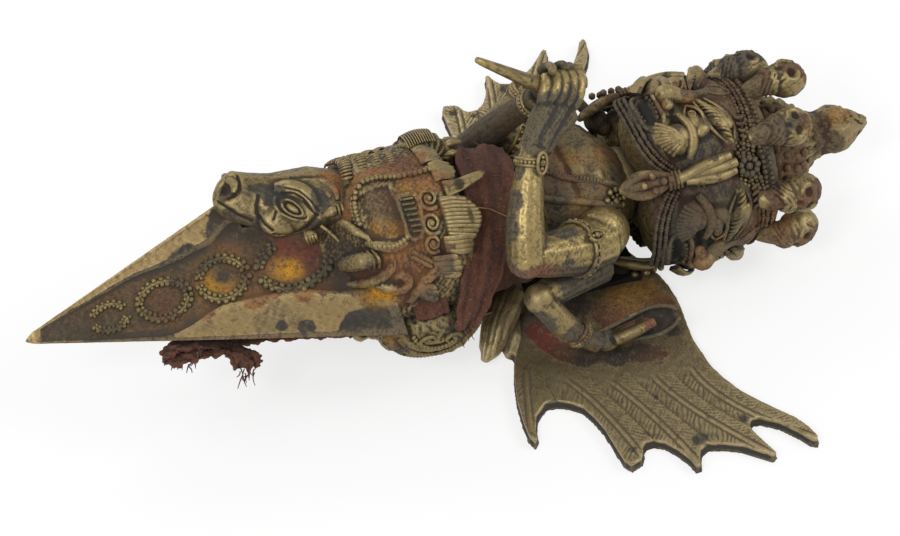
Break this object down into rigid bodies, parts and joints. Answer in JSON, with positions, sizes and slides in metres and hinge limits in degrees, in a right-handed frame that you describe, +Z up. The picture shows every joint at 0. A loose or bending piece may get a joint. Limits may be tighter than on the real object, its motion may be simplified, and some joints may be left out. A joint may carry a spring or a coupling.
{
  "type": "ritual dagger",
  "caption": "Three-edged ritual dagger lying on its back: winged figure with three heads and several arms over a tapering blade, with a horse head, apron and cloth-wrapped waist.",
  "frame": {"origin": "bottom centre of the bounding box, on the plane that the flat wings rest on", "axes": "+X from the blade tip to the finial, +Y to the figure's right hand, +Z up, the way the figure faces"},
  "size_m": [0.3397, 0.245, 0.1238],
  "materials": {
    "aged_brass": "aged, satin, dark in the hollows",
    "dark_brass": "dark patina, satin",
    "pale_brass": "rubbed bright on the high spots",
    "red_cloth": "matte, faded, crumpled"
  },
  "bodies": {
    "root": {"blade": "aged_brass", "horse_head": "aged_brass", "hip_block": "aged_brass", "root_scroll_left": "dark_brass", "root_scroll_right": "dark_brass", "tang": "pale_brass", "waist_cloth": "red_cloth", "cloth_tail": "red_cloth", "torso": "aged_brass", "wing_bracket": "dark_brass", "wing_rivets": "pale_brass", "wing_left": "aged_brass", "wing_right": "aged_brass", "arm_front_left": "aged_brass", "arm_front_right": "dark_brass", "arm_side_left": "dark_brass", "arm_side_right": "dark_brass", "arm_pegs": "pale_brass", "bracelets": "pale_brass", "armlets": "pale_brass", "held_dagger": "pale_brass", "attribute_left": "dark_brass", "attribute_right": "aged_brass", "necklace": "pale_brass", "shoulder_rosettes": "pale_brass", "neck_dowel": "pale_brass", "head_centre": "aged_brass", "head_left": "dark_brass", "head_right": "dark_brass", "crown_band": "aged_brass", "crown_skulls": "pale_brass", "ear_ornaments": "pale_brass", "hair_back": "dark_brass", "hair_bun": "dark_brass", "finial": "pale_brass"}
  },
  "joints": []
}
